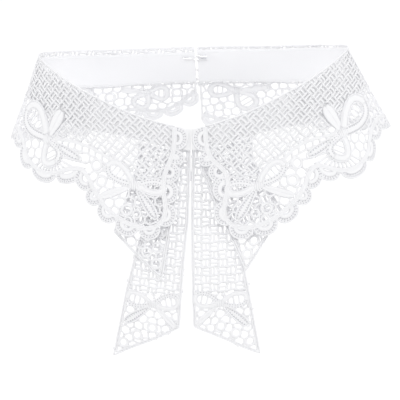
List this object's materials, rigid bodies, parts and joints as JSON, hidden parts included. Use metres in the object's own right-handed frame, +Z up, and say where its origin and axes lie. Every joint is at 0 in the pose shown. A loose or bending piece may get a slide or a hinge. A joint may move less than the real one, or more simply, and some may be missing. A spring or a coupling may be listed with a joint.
{
  "type": "false collar",
  "caption": "Detachable white lace collar on a plain neck band, with scalloped wings and hanging lace tails, shown filled out as worn, with no wearer.",
  "frame": {"origin": "middle of the neck opening, level with the top of its sides, which is where the wearer's neck holds it", "axes": "+Z up, -Y towards the front, where the tails hang, +X to the right as seen from the front"},
  "size_m": [0.2376, 0.1476, 0.1703],
  "materials": {
    "lace_thread": "matt white cotton lace",
    "band_cloth": "matt white woven cloth",
    "closure_wire": "dull nickel-plated wire"
  },
  "bodies": {
    "root": {"lace_left": "lace_thread", "lace_right": "lace_thread", "band_left": "band_cloth", "band_right": "band_cloth", "tail_long_left": "lace_thread", "tail_long_right": "lace_thread", "tail_short_left": "lace_thread", "tail_short_right": "lace_thread", "hook": "closure_wire", "eye": "closure_wire"}
  },
  "joints": []
}
